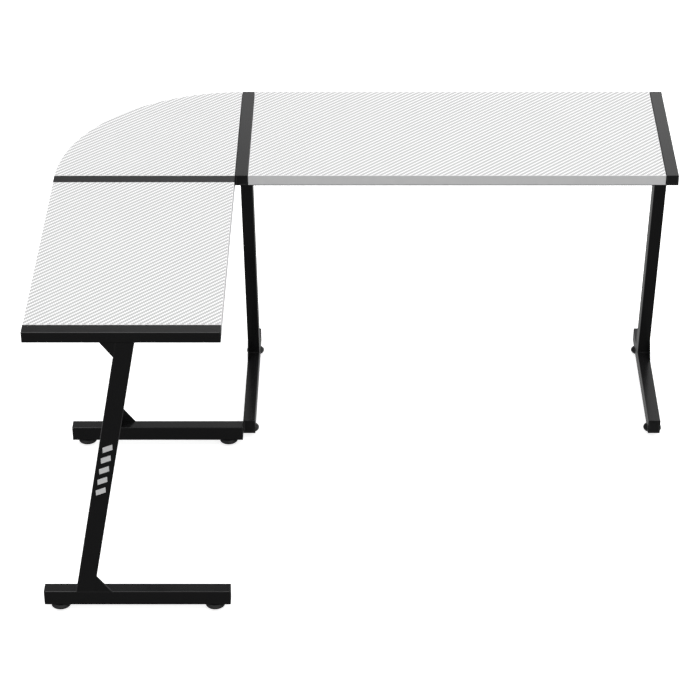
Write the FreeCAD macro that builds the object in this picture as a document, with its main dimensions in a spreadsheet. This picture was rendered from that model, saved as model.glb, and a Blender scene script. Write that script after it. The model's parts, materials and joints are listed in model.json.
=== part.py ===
"""Corner desk: three boards set flush between four Z-shaped steel legs on levelling feet.

Millimetres, +Z up. The origin is on the floor, under the middle of the desk's outline.
+X runs to the right along the long board and +Y runs back to the wall.

Every leg is drawn in a frame of its own: X along its bars from the wall end (negative) to the
user's end (positive), Y across them, Z up from the floor.
"""
import FreeCAD, Part
import os
import Sketcher

SIZES = {
    # the whole desk
    "desk_length": 1470,  # left ends of the boards to the right face of the right leg
    "desk_side": 1100,  # back edge of the boards to the front face of the left leg
    "desk_height": 750,
    "depth": 425,  # each board, front to back, and each leg, end to end
    # boards
    "board_thick": 25,
    "band_thick": 1,
    "band_round": 0.6,
    "board_gap": 0.8,  # between a board and the bar beside it
    # legs
    "bar_width": 30,
    "top_bar_height": 26.5,
    "base_bar_height": 38,
    "floor_gap": 8,  # floor to the underside of the base bar
    "wall": 1.5,
    "bar_round": 1.5,
    "post_depth": 41.5,  # measured level, across the lean
    "post_foot_inset": 74,  # wall end of the base bar to the post
    "post_head_inset": 199.5,  # wall end of the top bar to the post
    "gusset_thick": 3,
    "head_gusset_run": 33.5,
    "head_gusset_drop": 36.5,
    "foot_gusset_run": 40,
    "foot_gusset_rise": 43,
    # tabs welded under the top bars
    "tab_thick": 3,
    "tab_width": 21,
    "tab_reach": 35,
    "rail_tab_inset": 6,
    "plate_tab_inset": 45,
    "bolt_hole": 7,
    # rails and corner plate, folded and cut from one gauge of sheet
    "sheet_thick": 1.5,
    "rail_width": 30,
    "rail_drop": 15,
    "bend_inside": 0.5,
    "plate_leg": 385,
    "plate_brace": 160,
    # end caps
    "cap_flange": 2,
    "cap_edge": 0.8,
    "cap_plug": 12,
    "cap_wall": 1.6,
    "cap_slack": 0.1,
    # fasteners
    "bolt_diameter": 6,
    "bolt_length": 16,
    "bolt_head_width": 10,
    "bolt_head_height": 4,
    "insert_diameter": 10,
    "insert_bore": 6.2,
    "insert_length": 13,
    "screw_diameter": 4,
    "screw_hole": 4.5,
    "screw_length": 15,
    "screw_head_diameter": 8,
    "screw_head_height": 2.4,
    # levelling feet
    "foot_inset": 36,  # end of the base bar to the foot's centre
    "stud_diameter": 8,
    "stud_slack": 0.05,  # radial, in the nut and in the pad
    "stud_top": 28,
    "stud_hole": 9,
    "stud_chamfer": 0.8,
    "nut_width": 13,
    "nut_height": 6.5,
    "pad_diameter": 45,
    "pad_height": 7.5,
    "pad_top_diameter": 36,
    "pad_rim": 2.5,
    "pad_chamfer": 1,
    "web_bottom": 3.2,
    "web_top": 5.3,
    "web_slack": 0.1,  # axial, between the web and the stud's collar and rivet head
    "rivet_diameter": 14,
    "rivet_bottom": 1,
    "collar_diameter": 16,
    "collar_height": 1.8,
    "recess_slack": 0.6,  # radial, round the collar and the rivet head
}

# Places worked out from the sizes. Each is an expression on the sheet's aliases.
HALF_DEPTH = "(Desk.depth / 2)"
HALF_BAR = "(Desk.bar_width / 2)"
BASE_TOP = "(Desk.floor_gap + Desk.base_bar_height)"
TOP_UNDERSIDE = "(Desk.desk_height - Desk.top_bar_height)"
BOARD_UNDERSIDE = "(Desk.desk_height - Desk.board_thick)"
TUBE_LENGTH = "(Desk.depth - 2 * Desk.cap_flange)"
FOOT_OVERHANG = "((Desk.pad_diameter - Desk.bar_width) / 2)"
LEFT = f"(-(Desk.desk_length + {FOOT_OVERHANG}) / 2)"
REAR = f"((Desk.desk_side + {FOOT_OVERHANG}) / 2)"
CORNER_X = f"({LEFT} + Desk.depth)"
CORNER_Y = f"({REAR} - Desk.depth)"
BAR_AND_GAP = "(Desk.bar_width + Desk.board_gap)"
LONG_BOARD_LENGTH = f"(Desk.desk_length - Desk.depth - 2 * {BAR_AND_GAP})"
LEFT_BOARD_LENGTH = f"(Desk.desk_side - Desk.depth - 2 * {BAR_AND_GAP})"
RAIL_BOLT_INSET = "(Desk.rail_tab_inset + Desk.tab_width / 2)"
PLATE_BOLT_INSET = "(Desk.plate_tab_inset + Desk.tab_width / 2)"

# Legs: centre of the bars, turn about Z in degrees, the side (across the bars) on which the rails
# meet the leg, the side of the corner plate or 0, and the names of the wall and user ends.
LEGS = {
    "right_end": (f"{LEFT} + Desk.desk_length - {HALF_BAR}", f"{REAR} - {HALF_DEPTH}", -90,
                  -1, 0, ("back", "front")),
    "middle": (f"{CORNER_X} + {HALF_BAR}", f"{REAR} - {HALF_DEPTH}", -90,
               1, -1, ("back", "front")),
    "corner": (f"{LEFT} + {HALF_DEPTH}", f"{CORNER_Y} - {HALF_BAR}", 0,
               -1, 1, ("left", "right")),
    "left_end": (f"{LEFT} + {HALF_DEPTH}", f"{REAR} - Desk.desk_side + {HALF_BAR}", 0,
                 1, 0, ("left", "right")),
}

# Rectangular boards: centre, turn about Z, length between the legs, and the places of the rail
# screws as fractions of that length from the middle.
BOARDS = {
    "long_board": (f"{CORNER_X} + {BAR_AND_GAP} + {LONG_BOARD_LENGTH} / 2",
                   f"{REAR} - {HALF_DEPTH}", 0, LONG_BOARD_LENGTH, (-0.25, 0, 0.25)),
    "left_board": (f"{LEFT} + {HALF_DEPTH}",
                   f"{CORNER_Y} - {BAR_AND_GAP} - {LEFT_BOARD_LENGTH} / 2", 90,
                   LEFT_BOARD_LENGTH, (-0.17, 0.17)),
}
# Rail names by board, for the rail at negative and at positive local Y.
RAIL_NAMES = {
    "long_board": ("long_front_rail", "long_back_rail"),
    "left_board": ("left_inner_rail", "left_outer_rail"),
}

doc = FreeCAD.newDocument("corner_desk")
sheet = doc.addObject("Spreadsheet::Sheet", "Desk")
pieces = []


def fill_sheet():
    """Write each driving dimension into a cell of its own, under its alias."""
    for row, (alias, size) in enumerate(SIZES.items(), start=1):
        sheet.set(f"A{row}", str(size))
        sheet.setAlias(f"A{row}", alias)
    doc.recompute()


def number(expression):
    return float(sheet.evalExpression(expression))


def new_body(label, x="0", y="0", z="0", turn=0):
    """A body at a place given by expressions, turned about Z. Its label names its file."""
    body = doc.addObject("PartDesign::Body", label)
    body.Label = label
    up = FreeCAD.Vector(0, 0, 1)
    base = FreeCAD.Vector(number(x), number(y), number(z))
    body.Placement = FreeCAD.Placement(base, FreeCAD.Rotation(up, turn))
    for axis, place in zip("xyz", (x, y, z)):
        body.setExpression(f"Placement.Base.{axis}", place)
    pieces.append(body)
    return body


def new_sketch(body, plane_role, offset="0"):
    """A sketch on one of the body's own planes, moved along the plane's normal."""
    sketch = body.newObject("Sketcher::SketchObject", f"{body.Name}_sketch")
    plane = next(item for item in body.Origin.OriginFeatures if item.Role == plane_role)
    sketch.AttachmentSupport = [(plane, "")]
    sketch.MapMode = "FlatFace"
    sketch.setExpression("AttachmentOffset.Base.z", offset)
    return sketch


def constrain(sketch, kind, geometry, point, expression):
    """Hold a point's distance from the sketch's origin, or a circle's radius, to an expression."""
    size = number(expression)
    if kind == "Radius":
        constraint = Sketcher.Constraint(kind, geometry, size)
    else:
        constraint = Sketcher.Constraint(kind, -1, 1, geometry, point, size)
    index = sketch.addConstraint(constraint)
    sketch.setExpression(f"Constraints[{index}]", expression)


def polygon(sketch, corners):
    """A closed loop of lines through corners, each a pair of expressions."""
    points = [FreeCAD.Vector(number(x), number(y), 0) for x, y in corners]
    first = sketch.GeometryCount
    for start, end in zip(points, points[1:] + points[:1]):
        sketch.addGeometry(Part.LineSegment(start, end), False)
    for index, (x, y) in enumerate(corners):
        line = first + index
        before = first + (index - 1) % len(corners)
        sketch.addConstraint(Sketcher.Constraint("Coincident", before, 2, line, 1))
        constrain(sketch, "DistanceX", line, 1, x)
        constrain(sketch, "DistanceY", line, 1, y)


def rectangle(sketch, left, bottom, right, top):
    polygon(sketch, [(left, bottom), (right, bottom), (right, top), (left, top)])


def circle(sketch, x, y, radius):
    centre = FreeCAD.Vector(number(x), number(y), 0)
    up = FreeCAD.Vector(0, 0, 1)
    index = sketch.addGeometry(Part.Circle(centre, up, number(radius)), False)
    constrain(sketch, "Radius", index, 0, radius)
    constrain(sketch, "DistanceX", index, 3, x)
    constrain(sketch, "DistanceY", index, 3, y)


def hexagon(sketch, x, y, across_flats):
    """A hexagon with two corners along the sketch's X."""
    tip = f"{across_flats} / sqrt(3)"
    flat = f"{across_flats} / 2"
    corners = [(f"{x} + {tip}", y), (f"{x} + {tip} / 2", f"{y} + {flat}"),
               (f"{x} - {tip} / 2", f"{y} + {flat}"), (f"{x} - {tip}", y),
               (f"{x} - {tip} / 2", f"{y} - {flat}"), (f"{x} + {tip} / 2", f"{y} - {flat}")]
    polygon(sketch, corners)


def quarter_disc(sketch, inset):
    """A quarter disc towards -X and +Y, set in by inset all round, and clear of the bars."""
    radius = f"Desk.depth - {inset}"
    straight = f"({inset} + Desk.board_gap)"
    gap = number(straight)
    size = number(radius)
    reach = (size ** 2 - gap ** 2) ** 0.5
    heel = FreeCAD.Vector(-gap, gap, 0)
    back = FreeCAD.Vector(-gap, reach, 0)
    side = FreeCAD.Vector(-reach, gap, 0)
    bow = FreeCAD.Vector(-size / 2 ** 0.5, size / 2 ** 0.5, 0)
    right = sketch.addGeometry(Part.LineSegment(heel, back), False)
    arc = sketch.addGeometry(Part.Arc(back, bow, side), False)
    front = sketch.addGeometry(Part.LineSegment(side, heel), False)
    for one, other in (((right, 2), (arc, 1)), ((arc, 2), (front, 1)), ((front, 2), (right, 1))):
        sketch.addConstraint(Sketcher.Constraint("Coincident", *one, *other))
    sketch.addConstraint(Sketcher.Constraint("Coincident", arc, 3, -1, 1))
    constrain(sketch, "Radius", arc, 0, radius)
    constrain(sketch, "DistanceX", right, 1, f"-{straight}")
    constrain(sketch, "DistanceY", right, 1, straight)
    constrain(sketch, "DistanceX", right, 2, f"-{straight}")
    constrain(sketch, "DistanceY", front, 1, straight)


def pad(body, sketch, length, side="One side", backwards=False):
    feature = body.newObject("PartDesign::Pad", f"{body.Name}_pad")
    feature.Profile = sketch
    feature.SideType = side
    feature.Reversed = backwards
    feature.setExpression("Length", length)
    doc.recompute()
    return feature


def pocket_up(body, sketch, depth):
    """Cut upwards from a sketch on the XY plane, and make sure that something was cut."""
    before = body.Shape.Volume
    feature = body.newObject("PartDesign::Pocket", f"{body.Name}_pocket")
    feature.Profile = sketch
    feature.Reversed = True
    feature.setExpression("Length", depth)
    doc.recompute()
    if not feature.Shape.Volume < before:
        raise RuntimeError(f"{body.Label}: the pocket cuts nothing")


def fillet(body, feature, wanted, radius):
    """Round the feature's edges that the test called wanted picks."""
    names = [f"Edge{index}" for index, edge in enumerate(feature.Shape.Edges, start=1)
             if wanted(edge)]
    rounded = body.newObject("PartDesign::Fillet", f"{body.Name}_fillet")
    rounded.Base = (feature, names)
    rounded.setExpression("Radius", radius)
    doc.recompute()
    return rounded


def revolve(body, profile):
    """Turn a closed profile of radius and height pairs about the body's Z."""
    sketch = new_sketch(body, "XZ_Plane")
    polygon(sketch, profile)
    feature = body.newObject("PartDesign::Revolution", f"{body.Name}_revolution")
    feature.Profile = sketch
    feature.ReferenceAxis = (sketch, ["V_Axis"])
    doc.recompute()


def spans(edge, axis):
    """How far an edge reaches along a row axis, 0 for X, 1 for Y, 2 for Z."""
    box = edge.BoundBox
    return (box.XLength, box.YLength, box.ZLength)[axis]


def on_outer_face(edge):
    """Whether an edge lies in one of the two side faces of a bar."""
    middle = abs(edge.BoundBox.Center.y)
    return abs(middle - number(HALF_BAR)) < 0.01 and spans(edge, 1) < 0.01


def along_at(y, z):
    """A test for the long edge at a place in the YZ section, given by expressions."""
    def wanted(edge):
        centre = edge.BoundBox.Center
        near = abs(centre.y - number(y)) < 0.01 and abs(centre.z - number(z)) < 0.01
        return near and spans(edge, 0) > 1
    return wanted


def leg_body(leg, piece):
    x, y, turn = LEGS[leg][:3]
    return new_body(f"{leg}_{piece}", x, y, "0", turn)


def bar(body, bottom, top):
    """A box-section tube along the leg, between two heights, without its end caps."""
    section = new_sketch(body, "YZ_Plane")
    rectangle(section, f"-{HALF_BAR}", bottom, HALF_BAR, top)
    rectangle(section, f"-{HALF_BAR} + Desk.wall", f"{bottom} + Desk.wall",
              f"{HALF_BAR} - Desk.wall", f"{top} - Desk.wall")
    tube = pad(body, section, TUBE_LENGTH, "Symmetric")
    fillet(body, tube, lambda edge: on_outer_face(edge) and spans(edge, 0) > 1, "Desk.bar_round")


def make_top_bar(leg):
    bar(leg_body(leg, "top_bar"), TOP_UNDERSIDE, "Desk.desk_height")


def make_base_bar(leg):
    body = leg_body(leg, "base_bar")
    bar(body, "Desk.floor_gap", BASE_TOP)
    holes = new_sketch(body, "XY_Plane", "Desk.floor_gap")
    for side in (-1, 1):
        circle(holes, f"{side} * ({HALF_DEPTH} - Desk.foot_inset)", "0", "Desk.stud_hole / 2")
    pocket_up(body, holes, "2 * Desk.wall")


def make_post(leg):
    """A tube that leans towards the user, cut level at both ends."""
    body = leg_body(leg, "post")
    section = new_sketch(body, "XY_Plane", BASE_TOP)
    heel = f"(Desk.post_foot_inset - {HALF_DEPTH})"
    rectangle(section, heel, f"-{HALF_BAR}", f"{heel} + Desk.post_depth", HALF_BAR)
    rectangle(section, f"{heel} + Desk.wall", f"-{HALF_BAR} + Desk.wall",
              f"{heel} + Desk.post_depth - Desk.wall", f"{HALF_BAR} - Desk.wall")
    rise = f"({TOP_UNDERSIDE} - {BASE_TOP})"
    lean = "(Desk.post_head_inset - Desk.post_foot_inset)"
    tube = pad(body, section, rise)
    tube.UseCustomVector = True
    tube.AlongSketchNormal = True
    tube.Direction = FreeCAD.Vector(number(lean), 0, number(rise))
    tube.setExpression("Direction.x", lean)
    tube.setExpression("Direction.z", rise)
    doc.recompute()
    fillet(body, tube, lambda edge: on_outer_face(edge) and spans(edge, 2) > 1, "Desk.bar_round")


def make_gussets(leg):
    """Two triangular plates, flush with the leg's outer face, one at each end of the post."""
    outer = -LEGS[leg][3]
    body = leg_body(leg, "gussets")
    plane = f"{-outer} * ({HALF_BAR} - Desk.gusset_thick / 2)"
    outline = new_sketch(body, "XZ_Plane", plane)
    slope = (f"((Desk.post_head_inset - Desk.post_foot_inset) / ({TOP_UNDERSIDE} - {BASE_TOP}))")
    head = f"(Desk.post_head_inset - {HALF_DEPTH})"
    polygon(outline, [
        (head, TOP_UNDERSIDE),
        (f"{head} - Desk.head_gusset_run", TOP_UNDERSIDE),
        (f"{head} - {slope} * Desk.head_gusset_drop", f"{TOP_UNDERSIDE} - Desk.head_gusset_drop"),
    ])
    toe = f"(Desk.post_foot_inset + Desk.post_depth - {HALF_DEPTH})"
    polygon(outline, [
        (toe, BASE_TOP),
        (f"{toe} + Desk.foot_gusset_run", BASE_TOP),
        (f"{toe} + {slope} * Desk.foot_gusset_rise", f"{BASE_TOP} + Desk.foot_gusset_rise"),
    ])
    pad(body, outline, "Desk.gusset_thick", "Symmetric")


def make_tabs(leg):
    """Drilled plates under half the top bar, reaching out below the boards on each side with one."""
    rail_side, plate_side = LEGS[leg][3:5]
    body = leg_body(leg, "tabs")
    outline = new_sketch(body, "XY_Plane", f"{TOP_UNDERSIDE} - Desk.tab_thick")
    for across, inset in ((rail_side, "Desk.rail_tab_inset"), (plate_side, "Desk.plate_tab_inset")):
        if not across:
            continue
        far = f"{across} * ({HALF_BAR} + Desk.tab_reach)"
        for end in (-1, 1):
            outside = f"{end} * ({HALF_DEPTH} - {inset})"
            inside = f"{end} * ({HALF_DEPTH} - {inset} - Desk.tab_width)"
            rectangle(outline, outside, "0", inside, far)
            circle(outline, f"{end} * ({HALF_DEPTH} - {inset} - Desk.tab_width / 2)",
                   f"{across} * ({HALF_BAR} + Desk.tab_reach / 2)", "Desk.bolt_hole / 2")
    pad(body, outline, "Desk.tab_thick")


def make_end_caps(leg):
    """Caps for both bars: a flange over the tube's end and a hollow plug inside it."""
    body = leg_body(leg, "end_caps")
    heights = ((TOP_UNDERSIDE, "Desk.desk_height"), ("Desk.floor_gap", BASE_TOP))
    face = f"{HALF_DEPTH} - Desk.cap_flange"
    flanges = new_sketch(body, "YZ_Plane", face)
    for bottom, top in heights:
        rectangle(flanges, f"-{HALF_BAR}", bottom, HALF_BAR, top)
    flange = pad(body, flanges, "Desk.cap_flange")
    corners = fillet(body, flange, lambda edge: spans(edge, 0) > 1, "Desk.bar_round")
    rim = fillet(body, corners, lambda edge: edge.BoundBox.XMin > number(HALF_DEPTH) - 0.01,
                 "Desk.cap_edge")
    plugs = new_sketch(body, "YZ_Plane", face)
    for bottom, top in heights:
        for inset in ("(Desk.wall + Desk.cap_slack)",
                      "(Desk.wall + Desk.cap_slack + Desk.cap_wall)"):
            rectangle(plugs, f"-{HALF_BAR} + {inset}", f"{bottom} + {inset}",
                      f"{HALF_BAR} - {inset}", f"{top} - {inset}")
    pad(body, plugs, "Desk.cap_plug", backwards=True)
    mirror_along(body)


def mirror_along(body):
    """Copy the whole shape to the other end of the leg."""
    mirrored = body.newObject("PartDesign::Mirrored", f"{body.Name}_mirrored")
    plane = next(item for item in body.Origin.OriginFeatures if item.Role == "YZ_Plane")
    mirrored.TransformMode = "Whole shape"
    mirrored.MirrorPlane = (plane, [""])
    body.Tip = mirrored
    doc.recompute()


def make_foot_nuts(leg):
    """Nuts welded over the stud holes inside the base bar."""
    body = leg_body(leg, "foot_nuts")
    outline = new_sketch(body, "XY_Plane", "Desk.floor_gap + Desk.wall")
    for end in (-1, 1):
        x = f"{end} * ({HALF_DEPTH} - Desk.foot_inset)"
        hexagon(outline, x, "0", "Desk.nut_width")
        circle(outline, x, "0", "Desk.stud_diameter / 2 + Desk.stud_slack")
    pad(body, outline, "Desk.nut_height")


def foot_place(leg, end):
    """Where a foot stands, as expressions. The end is -1 for the wall end, 1 for the user's."""
    x, y, turn = LEGS[leg][:3]
    along = f"{end} * ({HALF_DEPTH} - Desk.foot_inset)"
    if turn:
        return x, f"{y} - {along}"
    return f"{x} + {along}", y


def make_pad(label, x, y):
    """A round pad: sloping rim, thin web round the stud, recesses for its collar and rivet head."""
    bore = "Desk.stud_diameter / 2 + Desk.stud_slack"
    rivet_recess = "Desk.rivet_diameter / 2 + Desk.recess_slack"
    collar_recess = "Desk.collar_diameter / 2 + Desk.recess_slack"
    rim = "Desk.pad_diameter / 2"
    revolve(new_body(label, x, y), [
        (bore, "Desk.web_bottom"),
        (rivet_recess, "Desk.web_bottom"),
        (rivet_recess, "0"),
        (f"{rim} - Desk.pad_chamfer", "0"),
        (rim, "Desk.pad_chamfer"),
        (rim, "Desk.pad_rim"),
        ("Desk.pad_top_diameter / 2", "Desk.pad_height"),
        (collar_recess, "Desk.pad_height"),
        (collar_recess, "Desk.web_top"),
        (bore, "Desk.web_top"),
    ])


def make_stud(label, x, y):
    """A stud held in the pad's web between a collar above it and a rivet head below it."""
    shank = "Desk.stud_diameter / 2"
    collar_seat = "Desk.web_top + Desk.web_slack"
    rivet_seat = "Desk.web_bottom - Desk.web_slack"
    revolve(new_body(label, x, y), [
        ("0", "Desk.rivet_bottom"),
        ("Desk.rivet_diameter / 2", "Desk.rivet_bottom"),
        ("Desk.rivet_diameter / 2", rivet_seat),
        (shank, rivet_seat),
        (shank, collar_seat),
        ("Desk.collar_diameter / 2", collar_seat),
        ("Desk.collar_diameter / 2", f"{collar_seat} + Desk.collar_height"),
        (shank, f"{collar_seat} + Desk.collar_height"),
        (shank, "Desk.stud_top - Desk.stud_chamfer"),
        (f"{shank} - Desk.stud_chamfer", "Desk.stud_top"),
        ("0", "Desk.stud_top"),
    ])


def make_feet(leg):
    for end, name in zip((-1, 1), LEGS[leg][5]):
        x, y = foot_place(leg, end)
        make_pad(f"{leg}_{name}_pad", x, y)
        make_stud(f"{leg}_{name}_stud", x, y)


def board_bolts(board):
    """Bolt places under a rectangular board, in the board's own frame."""
    length = BOARDS[board][3]
    return [(f"{end} * ({length} / 2 + Desk.board_gap - Desk.tab_reach / 2)",
             f"{side} * ({HALF_DEPTH} - {RAIL_BOLT_INSET})")
            for end in (-1, 1) for side in (-1, 1)]


def board_screws(board):
    """Screw places through the rails of a rectangular board, in the board's own frame."""
    length, fractions = BOARDS[board][3:]
    return [(f"{fraction} * {length}", f"{side} * ({HALF_DEPTH} - Desk.rail_width / 2)")
            for fraction in fractions for side in (-1, 1)]


def corner_bolts():
    """Bolt places under the corner board, from the inner corner of the desk."""
    near = PLATE_BOLT_INSET
    far = f"(Desk.depth - {PLATE_BOLT_INSET})"
    reach = "(Desk.tab_reach / 2)"
    return [(f"-{reach}", near), (f"-{reach}", far), (f"-{near}", reach), (f"-{far}", reach)]


def drill_board(body, bolts, screws):
    holes = new_sketch(body, "XY_Plane")
    for x, y in bolts:
        circle(holes, x, y, "Desk.insert_diameter / 2")
    pocket_up(body, holes, "Desk.insert_length")
    if screws:
        pilots = new_sketch(body, "XY_Plane")
        for x, y in screws:
            circle(pilots, x, y, "Desk.screw_diameter / 2")
        pocket_up(body, pilots, "Desk.screw_length - Desk.sheet_thick")


def round_band(body, ring):
    """Soften the band's outer top and bottom edges."""
    outside = ring.Shape.BoundBox

    def outer(edge):
        box = edge.BoundBox
        level = spans(edge, 2) < 0.01
        curved = not isinstance(edge.Curve, Part.Line)
        reach = max(abs(box.XMin), abs(box.XMax), abs(box.YMin), abs(box.YMax))
        flush = (box.XMax - outside.XMin < 0.01 or outside.XMax - box.XMin < 0.01
                 or box.YMax - outside.YMin < 0.01 or outside.YMax - box.YMin < 0.01)
        bow = curved and abs(edge.Curve.Radius - number("Desk.depth")) < 0.01
        return level and (flush or bow)

    fillet(body, ring, outer, "Desk.band_round")


def rectangular_board(board):
    x, y, turn, length, _ = BOARDS[board]
    half = f"({length} / 2)"
    core = new_body(board, x, y, BOARD_UNDERSIDE, turn)
    outline = new_sketch(core, "XY_Plane")
    inner = (f"-{half} + Desk.band_thick", f"-{HALF_DEPTH} + Desk.band_thick",
             f"{half} - Desk.band_thick", f"{HALF_DEPTH} - Desk.band_thick")
    rectangle(outline, *inner)
    pad(core, outline, "Desk.board_thick")
    drill_board(core, board_bolts(board), board_screws(board))
    band = new_body(f"{board}_edge_band", x, y, BOARD_UNDERSIDE, turn)
    ring = new_sketch(band, "XY_Plane")
    rectangle(ring, f"-{half}", f"-{HALF_DEPTH}", half, HALF_DEPTH)
    rectangle(ring, *inner)
    round_band(band, pad(band, ring, "Desk.board_thick"))


def make_corner_board():
    core = new_body("corner_board", CORNER_X, CORNER_Y, BOARD_UNDERSIDE)
    outline = new_sketch(core, "XY_Plane")
    quarter_disc(outline, "Desk.band_thick")
    pad(core, outline, "Desk.board_thick")
    drill_board(core, corner_bolts(), [])
    band = new_body("corner_board_edge_band", CORNER_X, CORNER_Y, BOARD_UNDERSIDE)
    ring = new_sketch(band, "XY_Plane")
    quarter_disc(ring, "0")
    quarter_disc(ring, "Desk.band_thick")
    round_band(band, pad(band, ring, "Desk.board_thick"))


def make_rail(board, side, name):
    """A folded angle under the board's edge: level flange flush with it, leg set back under it."""
    x, y, turn, length, _ = BOARDS[board]
    body = new_body(name, x, y, TOP_UNDERSIDE, turn)
    section = new_sketch(body, "YZ_Plane")
    edge = f"{side} * {HALF_DEPTH}"
    back = f"{side} * ({HALF_DEPTH} - Desk.rail_width)"
    web = f"{side} * ({HALF_DEPTH} - Desk.rail_width + Desk.sheet_thick)"
    polygon(section, [
        (edge, "Desk.sheet_thick"),
        (back, "Desk.sheet_thick"),
        (back, "Desk.sheet_thick - Desk.rail_drop"),
        (web, "Desk.sheet_thick - Desk.rail_drop"),
        (web, "0"),
        (edge, "0"),
    ])
    angle = pad(body, section, length, "Symmetric")
    outside = fillet(body, angle, along_at(back, "Desk.sheet_thick"),
                     "Desk.bend_inside + Desk.sheet_thick")
    fillet(body, outside, along_at(web, "0"), "Desk.bend_inside")
    holes = new_sketch(body, "XY_Plane")
    for spots, diameter in ((board_bolts(board), "Desk.bolt_hole"),
                            (board_screws(board), "Desk.screw_hole")):
        for across, along in spots:
            if number(along) * side > 0:
                circle(holes, across, along, f"{diameter} / 2")
    pocket_up(body, holes, "Desk.sheet_thick")


def make_corner_plate():
    """A flat L of sheet with a brace across its inner corner, under the corner board."""
    body = new_body("corner_plate", CORNER_X, CORNER_Y, TOP_UNDERSIDE)
    outline = new_sketch(body, "XY_Plane")
    polygon(outline, [
        ("0", "0"),
        ("0", "Desk.plate_leg"),
        ("-Desk.tab_reach", "Desk.plate_leg"),
        ("-Desk.tab_reach", "Desk.plate_brace"),
        ("-Desk.plate_brace", "Desk.tab_reach"),
        ("-Desk.plate_leg", "Desk.tab_reach"),
        ("-Desk.plate_leg", "0"),
    ])
    for x, y in corner_bolts():
        circle(outline, x, y, "Desk.bolt_hole / 2")
    pad(body, outline, "Desk.sheet_thick")


def to_desk(board, spots):
    """Move places from a rectangular board's frame into the desk's."""
    x, y, turn = BOARDS[board][:3]
    if turn:
        return [(f"{x} - ({across})", f"{y} + {along}") for along, across in spots]
    return [(f"{x} + {along}", f"{y} + ({across})") for along, across in spots]


def all_bolts():
    spots = [(f"{CORNER_X} + ({x})", f"{CORNER_Y} + {y}") for x, y in corner_bolts()]
    for board in BOARDS:
        spots += to_desk(board, board_bolts(board))
    return spots


def all_screws():
    return [spot for board in BOARDS for spot in to_desk(board, board_screws(board))]


def make_board_inserts():
    """Threaded sleeves pressed into the undersides of the boards."""
    body = new_body("board_inserts", z=BOARD_UNDERSIDE)
    section = new_sketch(body, "XY_Plane")
    for x, y in all_bolts():
        circle(section, x, y, "Desk.insert_diameter / 2")
        circle(section, x, y, "Desk.insert_bore / 2")
    pad(body, section, "Desk.insert_length")


def make_board_bolts():
    """Hex bolts up through the tabs, the rails or corner plate, and into the inserts."""
    body = new_body("board_bolts", z=f"{TOP_UNDERSIDE} - Desk.tab_thick")
    heads = new_sketch(body, "XY_Plane")
    for x, y in all_bolts():
        hexagon(heads, x, y, "Desk.bolt_head_width")
    pad(body, heads, "Desk.bolt_head_height", backwards=True)
    shanks = new_sketch(body, "XY_Plane")
    for x, y in all_bolts():
        circle(shanks, x, y, "Desk.bolt_diameter / 2")
    pad(body, shanks, "Desk.bolt_length")


def make_rail_screws():
    """Short pan-head screws up through the rails into the boards."""
    body = new_body("rail_screws", z=TOP_UNDERSIDE)
    heads = new_sketch(body, "XY_Plane")
    for x, y in all_screws():
        circle(heads, x, y, "Desk.screw_head_diameter / 2")
    pad(body, heads, "Desk.screw_head_height", backwards=True)
    shanks = new_sketch(body, "XY_Plane")
    for x, y in all_screws():
        circle(shanks, x, y, "Desk.screw_diameter / 2")
    pad(body, shanks, "Desk.screw_length")


def check_document():
    """Stop if any object failed to rebuild or any piece has no sound solid."""
    doc.recompute()
    for item in doc.Objects:
        if "Invalid" in item.State or "Error" in item.State:
            raise RuntimeError(f"{item.Label}: {item.State}")
    for piece in pieces:
        if piece.Shape.isNull() or not piece.Shape.isValid() or not piece.Shape.Solids:
            raise RuntimeError(f"{piece.Label}: no valid solid")


def export_pieces():
    os.makedirs("parts", exist_ok=True)
    for piece in pieces:
        piece.Shape.exportStep(f"parts/{piece.Label}.step")


fill_sheet()
for leg_name in LEGS:
    make_top_bar(leg_name)
    make_post(leg_name)
    make_base_bar(leg_name)
    make_gussets(leg_name)
    make_tabs(leg_name)
    make_end_caps(leg_name)
    make_foot_nuts(leg_name)
    make_feet(leg_name)
for board_name in BOARDS:
    rectangular_board(board_name)
    for rail_side, rail_name in zip((-1, 1), RAIL_NAMES[board_name]):
        make_rail(board_name, rail_side, rail_name)
make_corner_board()
make_corner_plate()
make_board_inserts()
make_board_bolts()
make_rail_screws()
check_document()
export_pieces()
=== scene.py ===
# %% [markdown]
# # A corner desk
# The desk is three white boards held flush between four black Z-shaped steel legs. The steel, the
# boards and the moving feet come from an engineering model, and this file adds what a drawing
# leaves out: finishes, threads, chamfers, weld beads and moulded details. Every length is in
# metres, in the model's own frame.

import json
import math

import bpy
from mathutils import Matrix, Vector


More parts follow.
